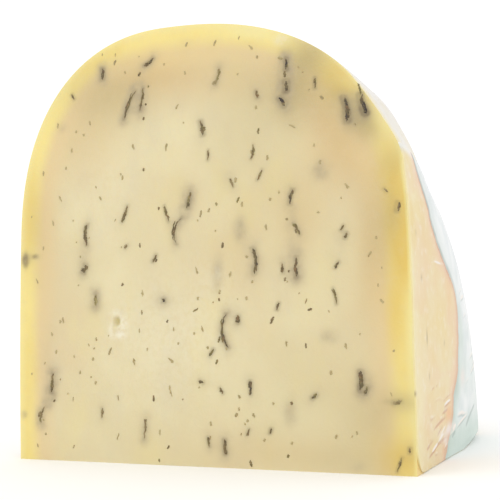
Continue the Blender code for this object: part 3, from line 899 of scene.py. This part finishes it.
herb = Finish("dried_herb", 0.6)
dark = herb.attribute("darkness")
streaks = herb.noise(1300.0, 3.0).between(0.48, 0.72) * 0.4 * (1.0 - dark.between(0.7, 1.1) * 0.75)
herb.feed("Base Color", herb.layers(
    SHRED_BROWN,
    (herb.attribute("olive").between(0.3, 0.9), SHRED_OLIVE),
    (dark.between(0.4, 0.85), SHRED_DARK),
    (dark.between(0.85, 1.1), SHRED_BLACK),
    (dark.up_to(0.0, 0.6), SHRED_FAINT),
    (streaks, SHRED_FAINT),
    (herb.noise(800.0, 2.0).between(0.55, 0.7) * 0.5, SHRED_RUST)))
herb.feed("Normal", herb.bump(herb.noise(2500.0, 2.0, stretch=(1.0, 1.0, 0.3)), 0.0001, 0.6))
paint(herbs, herb)
bpy.ops.object.shade_smooth()
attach(herbs, "root")

# Label: thin printed film, stuck over the flank and wrapped on to the rim, where it wrinkles.
# It was cut with the cheese. A peach field ends at a thin salmon line, and beyond the line
# the film is white with soft mint patches. Places are back from the front and up.
LABEL_RADIUS = 80.0
LABEL_THICKNESS = 0.4
LABEL_LIFT = -0.06
LABEL_LEAST_LIFT = 0.24
LABEL_FLOOR_GAP = 0.25
LABEL_CORNER = 5.5
LABEL_CELLS = 216
LABEL_GATHER = (1.2, 1.8)
CORNER_SAMPLES = 40
EDGE_SAMPLES = 400
SLOPE_STEP = 0.5
LABEL_WAVE = 0.12
LABEL_WAVE_PACE = 0.12
LABEL_WAVE_START = 2.0
BORDER_LINE = (
    (15.5, 84.0), (15.7, 76.0), (18.4, 69.8), (20.7, 65.9), (22.1, 61.3), (25.5, 56.7),
    (29.0, 53.4), (33.8, 50.3), (38.8, 47.2), (42.9, 44.2), (45.1, 40.1), (45.8, 36.3),
    (44.7, 28.7), (43.1, 20.7), (38.9, 16.3), (36.7, 10.2), (31.0, 4.3), (27.7, 0.8), (24.0, -3.0),
)
LINE_SAMPLES = 400
LINE_SOFTENING = 31
LINE_WAVES = ((0.8, 0.16, 1.0), (0.4, 0.6, 4.0), (0.3, 1.7, 7.0))
WRINKLE_LEAN = 9.0
WRINKLE_SEED = 5
CREASE_BOW = 0.02
CREASE_TAPER = 0.7
WRINKLE_GROUPS = (
    # how many, back from, back to, up from, up to, longest, height
    (9, 12.0, 34.0, 1.0, 17.0, 9.0, 0.12), (8, 38.0, 64.0, 3.0, 24.0, 16.0, 0.20),
    (5, 46.0, 68.0, 24.0, 44.0, 9.0, 0.15), (5, 6.0, 14.0, 2.0, 40.0, 6.0, 0.08),
)
CREASES = (
    # start back and up, end back and up, half width, height
    (27.0, 14.1, 34.6, 14.9, 0.32, 0.35), (21.8, 11.1, 29.3, 11.9, 0.35, 0.2),
    (12.5, 3.8, 19.4, 5.5, 0.35, 0.4), (22.2, 6.9, 28.9, 9.0, 0.4, 0.2),
    (18.9, 5.5, 26.5, 7.1, 0.4, 0.25), (35.2, 6.9, 39.3, 8.0, 0.45, 0.35),
    (18.5, 51.0, 33.0, 50.2, 0.3, 0.25), (27.4, 13.4, 35.7, 14.4, 0.3, -0.25),
    (23.9, 11.5, 32.1, 12.7, 0.35, -0.3), (15.3, 8.8, 30.3, 10.9, 0.4, -0.25),
    (14.5, 3.9, 30.1, 5.8, 0.35, -0.4), (10.3, 2.7, 18.2, 4.1, 0.4, -0.25),
    (7.7, 5.0, 16.4, 6.5, 0.45, -0.15), (19.1, 6.8, 25.7, 8.9, 0.35, -0.2),
    (26.5, 14.9, 37.0, 16.4, 0.3, -0.15), (35.0, 4.8, 39.0, 6.0, 0.4, -0.35),
    (50.5, 5.6, 58.0, 9.2, 0.6, -0.3), (56.2, 8.6, 65.0, 11.1, 0.6, -0.25),
    (15.4, 18.8, 19.0, 19.5, 0.35, -0.15), (19.5, 19.2, 22.1, 19.9, 0.35, -0.15),
)
LABEL_MARKS = (
    # back, up, reach back, reach up, weight
    (13.4, 32.2, 0.5, 1.7, 0.7), (14.0, 22.5, 0.6, 0.9, 0.4), (10.5, 47.0, 0.7, 0.8, 0.4),
    (0.9, 19.4, 0.8, 0.6, 0.6), (28.0, 12.0, 0.5, 1.2, 0.3), (4.5, 79.0, 2.5, 1.0, 0.4),
    (30.0, 30.0, 0.6, 0.9, 0.3), (8.0, 58.0, 0.5, 0.7, 0.25),
)
# Pale patches among the low wrinkles.
LABEL_PALE_PATCHES = (
    (25.0, 7.0, 4.0, 1.3, 0.9), (32.0, 7.6, 3.5, 1.5, 1.0), (28.0, 5.0, 2.5, 1.0, 0.6),
    (37.0, 8.0, 2.0, 1.2, 0.5), (29.0, 13.0, 2.0, 0.6, 0.3), (48.6, 19.8, 3.0, 2.4, 0.6),
)
LABEL_MINTS = (
    (41.5, 16.8, 4.0, 3.0, 0.8), (48.5, 33.0, 3.0, 7.0, 0.5), (34.0, 3.5, 4.0, 1.5, 0.3),
    (52.0, 24.0, 2.5, 3.0, 0.3),
)
LABEL_FLUSHES = (
    (32.5, 11.4, 3.2, 1.9, 1.1), (24.0, 10.2, 6.0, 1.6, 0.4), (26.5, 2.6, 2.0, 2.6, 0.6),
    (36.5, 39.5, 3.0, 8.0, 0.35),
)
LABEL_WARM = (
    (24.0, 36.0, 8.0, 6.0, 0.6), (30.5, 34.0, 5.0, 5.0, 0.8), (12.0, 38.0, 5.0, 5.0, 0.4),
    (18.0, 55.0, 5.0, 6.0, 0.3), (20.0, 27.0, 7.0, 5.0, 0.3), (7.0, 73.0, 4.0, 7.0, 0.7),
    (40.0, 42.0, 5.0, 3.0, 0.6), (14.0, 59.0, 4.0, 3.0, 0.3), (25.0, 11.0, 5.0, 1.5, 0.5),
    (16.0, 5.0, 5.0, 2.0, 0.3), (15.0, 19.0, 4.0, 2.5, 0.5), (6.0, 63.0, 3.0, 10.0, 1.3),
)


def wrinkles():
    """Long shallow creases where the film was pressed flat, most of them one way."""
    draw = random.Random(WRINKLE_SEED)
    made = []
    for count, back_from, back_to, up_from, up_to, longest, height in WRINKLE_GROUPS:
        for number in range(count):
            start = (draw.uniform(back_from, back_to), draw.uniform(up_from, up_to))
            lean = math.radians(WRINKLE_LEAN + draw.gauss(0.0, 5.0))
            length = draw.uniform(0.4, 1.0) * longest
            made.append((*start, start[0] + length * math.cos(lean), start[1] + length * math.sin(lean),
                         draw.uniform(0.3, 0.7), height * draw.uniform(0.5, 1.3)))
    return made


def label_outline():
    """From the rounded bottom front corner up the front cut and round the outer edge."""
    foot = LABEL_FLOOR_GAP
    inset = LABEL_CORNER / math.tan(0.5 * opening)
    middle = np.array((foot / math.tan(opening) + inset, foot + LABEL_CORNER))
    turn = np.linspace(1.5 * math.pi, opening + 0.5 * math.pi, CORNER_SAMPLES)
    corner = middle + LABEL_CORNER * as_points(np.cos(turn), np.sin(turn))
    turn = np.linspace(opening, math.asin(foot / LABEL_RADIUS), EDGE_SAMPLES)
    edge = LABEL_RADIUS * as_points(np.cos(turn), np.sin(turn))
    return np.concatenate((corner, edge))


def ridge_heights(back, up, ridges):
    """Height of long soft ridges, tapering to their ends."""
    height = np.zeros_like(back)
    for start_back, start_up, end_back, end_up, half_width, crest in ridges:
        run = np.array((end_back - start_back, end_up - start_up))
        length = np.linalg.norm(run)
        run = run / length
        along = (back - start_back) * run[0] + (up - start_up) * run[1]
        side = (up - start_up) * run[0] - (back - start_back) * run[1]
        arch = np.sin(fraction(along / length) * math.pi)
        bowed = side - CREASE_BOW * length * arch
        height += crest * arch ** CREASE_TAPER * bell(bowed / half_width)
    return height


def on_flank(flat, lift):
    """Places on the right flank and rim, lifted off along the surface's own normal."""
    radius = np.hypot(flat[:, 0], flat[:, 1])
    inner = np.maximum(radius - SLOPE_STEP, 0.0)
    outer = radius + SLOPE_STEP
    slope = section_edge(outer, 1) - section_edge(inner, 1)
    size = np.hypot(slope, outer - inner)
    grown = (radius - lift * slope / size) / radius
    x = section_edge(radius, 1) + lift * (outer - inner) / size
    return as_points(x, flat[:, 0] * grown, flat[:, 1] * grown)


soft_wrinkles = wrinkles()
outline = label_outline()
lengths = np.concatenate(((0.0,), np.cumsum(np.linalg.norm(np.diff(outline, axis=0), axis=1))))
top_corner = lengths[CORNER_SAMPLES] / lengths[-1]
flat_label = face_grid(LABEL_CELLS, outline, (top_corner, 0.5 * (1.0 + top_corner)), LABEL_GATHER)
back, up = flat_label[:, 0], flat_label[:, 1]
edge_room = np.minimum(up - LABEL_FLOOR_GAP, LABEL_RADIUS - np.hypot(back, up))
unevenness = noise_at(*(LABEL_WAVE_PACE * flat_label.T), 3.0)
heights = ridge_heights(back, up, [*CREASES, *soft_wrinkles]) + LABEL_WAVE * unevenness
lift = LABEL_LIFT + LABEL_THICKNESS + heights * fraction(edge_room / LABEL_WAVE_START)
placed = on_flank(flat_label, np.maximum(lift, LABEL_LEAST_LIFT))
placed[:, 0] += flank_relief(back, up, np.zeros_like(back))
label = shaped_grid("printed_label", LABEL_CELLS, in_scene(placed))
label_points = from_axis(label.data)
back, up = label_points[:, 1], label_points[:, 2]

border = np.array(BORDER_LINE)[::-1]
line_up = np.linspace(border[0, 1], border[-1, 1], LINE_SAMPLES)
line_back = np.interp(line_up, border[:, 1], border[:, 0])
window = np.hanning(LINE_SOFTENING)
padded = np.pad(line_back, LINE_SOFTENING // 2, mode="edge")
line_back = np.convolve(padded, window / window.sum(), mode="valid")
for sway, often, start in LINE_WAVES:
    line_back += sway * noise_at(often * line_up, start, 1.0)
from_line = distance_to(as_points(line_back, line_up), as_points(back, up))
outside = back > np.interp(up, line_up, line_back)
carry(label.data, "from_line", np.where(outside, from_line, -from_line))
carry(label.data, "from_front", np.abs(label_points @ face_out))
for name, spots in (("mark", LABEL_MARKS), ("warm", LABEL_WARM), ("pale_patch", LABEL_PALE_PATCHES),
                    ("flush", LABEL_FLUSHES), ("mint", LABEL_MINTS)):
    carry(label.data, name, soft_spots(back, up, spots))
drawn = ridge_heights(back, up, CREASES)
# The crest heights lead a painted highlight along the creases and wrinkles.
carry(label.data, "crest", np.maximum(drawn, 0.0) + ridge_heights(back, up, soft_wrinkles))
# Painted shade in the drawn troughs and just below the crest of each soft wrinkle.
carry(label.data, "crease_shade", np.maximum(-drawn, 0.0) + ridge_heights(back, up + 0.6, soft_wrinkles))
carry(label.data, "from_rim", LABEL_RADIUS - np.hypot(back, up))
carry(label.data, "label_up", up)

shell = label.modifiers.new("film", "SOLIDIFY")
shell.thickness = LABEL_THICKNESS * MM
shell.offset = -1.0
pick(label)
bpy.ops.object.modifier_apply(modifier="film")

PEACH = (219, 200, 152)
PEACH_DEEP = (219, 194, 143)
PEACH_BY_CUT = (223, 208, 160)
PEACH_BY_LINE = (220, 186, 150)
LABEL_YELLOW = (219, 196, 132)
SALMON = (184, 112, 84)
LINE_SHADOW = (122, 138, 118)
LINE_ROSE = (204, 158, 126)
STRAW_FILM = (226, 212, 146)
FLUSH = (222, 172, 118)
MINT = (186, 204, 194)
MINT_DEEP = (180, 194, 182)
FILM_WHITE = (226, 228, 227)
FILM_BLUE = (212, 217, 217)
SHADE_BY_LINE = (196, 204, 198)
FLECK_AND_HIGHLIGHT_WHITE = (233, 224, 215)
PALE_PATCH_WHITE = (226, 213, 204)
# Painted shade in the creases, on the peach field and on the white film.
CREASE_SHADE_PEACH = (196, 148, 108)
CREASE_SHADE_GREY = (150, 164, 158)
MARK_BROWN = (128, 100, 62)

film = Finish("label_print", 0.4, Coat_Weight=0.15, Coat_Roughness=0.25)
line = film.attribute("from_line")
from_front = film.attribute("from_front")
label_up = film.attribute("label_up")
crease_shade = film.attribute("crease_shade")
mottle = film.noise(110.0, 4.0)
blotches = film.noise(85.0, 3.0, stretch=(1.0, 0.6, 1.5))
patches = film.noise(60.0, 2.0, stretch=(1.0, 0.6, 1.4)).between(0.42, 0.62)
broken = film.noise(220.0, 2.0).between(0.2, 0.55) * 0.6 + 0.4
low_down = label_up.up_to(14.0, 52.0)
high_up = label_up.between(38.0, 58.0)
inner = film.layers(
    PEACH,
    (mottle.between(0.35, 0.7), PEACH_DEEP),
    (from_front.up_to(0.5, 11.0), PEACH_BY_CUT),
    (line.between(-8.0, -0.5) * 0.8, PEACH_BY_LINE),
    (blotches.between(0.5, 0.66) * 0.4, LABEL_YELLOW),
    (blotches.up_to(0.36, 0.48) * 0.35, PEACH_BY_LINE),
    (film.attribute("warm") * mottle.between(0.2, 0.65), LABEL_YELLOW),
    # Pale flecks at random over the peach field.
    (film.noise(400.0, 3.0).between(0.5, 0.8) * 0.35, FLECK_AND_HIGHLIGHT_WHITE),
    (from_front.up_to(0.0, 2.0) * 0.6, STRAW_FILM),
    (film.attribute("flush") * (mottle * 0.6 + 0.6), FLUSH),
    (film.attribute("mark"), MARK_BROWN),
    # Painted shade in the creases.
    (crease_shade.between(0.03, 0.2) * 0.85, CREASE_SHADE_PEACH),
    (film.attribute("from_rim").up_to(0.2, 3.0) * 0.8, FILM_WHITE))
outer = film.layers(
    FILM_WHITE,
    (mottle.between(0.4, 0.65), FILM_BLUE),
    (patches * (low_down * 0.25 + 0.05), MINT),
    (line.up_to(1.0, 8.0) * (low_down * 0.65 + 0.1), MINT),
    (label_up.up_to(4.0, 11.0) * 0.75, MINT),
    (film.attribute("mint"), MINT_DEEP),
    # Painted shade in the creases.
    (crease_shade.between(0.04, 0.22) * 0.65, CREASE_SHADE_GREY))
beyond_line = line.between(-0.06, 0.06)
shadow = line.between(0.0, 0.2) * line.up_to(0.4, 2.2) * broken
rose = line.between(-3.0, -0.6) * line.up_to(-0.4, 0.3)
stroke = line.between(-1.2, -0.4) * line.up_to(-0.1, 0.15) * broken
film.feed("Base Color", film.layers(
    inner,
    (beyond_line, outer),
    # Painted shade on the film beside the line higher up, and a painted shadow just beyond the line.
    (beyond_line * line.up_to(0.5, 9.0) * high_up * 0.55, SHADE_BY_LINE),
    (shadow * (high_up * 0.5 + 0.25), LINE_SHADOW),
    (rose * (0.65 - high_up * 0.45), LINE_ROSE),
    (stroke * (high_up * 0.5 + 0.25), SALMON),
    # Pale patches among the low wrinkles.
    (film.attribute("pale_patch") * mottle.between(0.3, 0.5), PALE_PATCH_WHITE),
    # Painted highlight along the crests of the creases and wrinkles.
    (film.attribute("crest").between(0.04, 0.2) * 0.95, FLECK_AND_HIGHLIGHT_WHITE)))
film.feed("Roughness", mottle * 0.15 + 0.32)
cockle = film.bump(film.noise(320.0, 3.0, stretch=(1.0, 0.6, 1.6)), 0.0003, 0.4)
film.feed("Normal", film.bump(film.noise(2200.0, 2.0), 0.00006, 0.4, under=cockle))
paint(label, film)
bpy.ops.object.shade_smooth_by_angle(angle=math.radians(50.0))
nothing_selected()
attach(label, "root")
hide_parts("label")
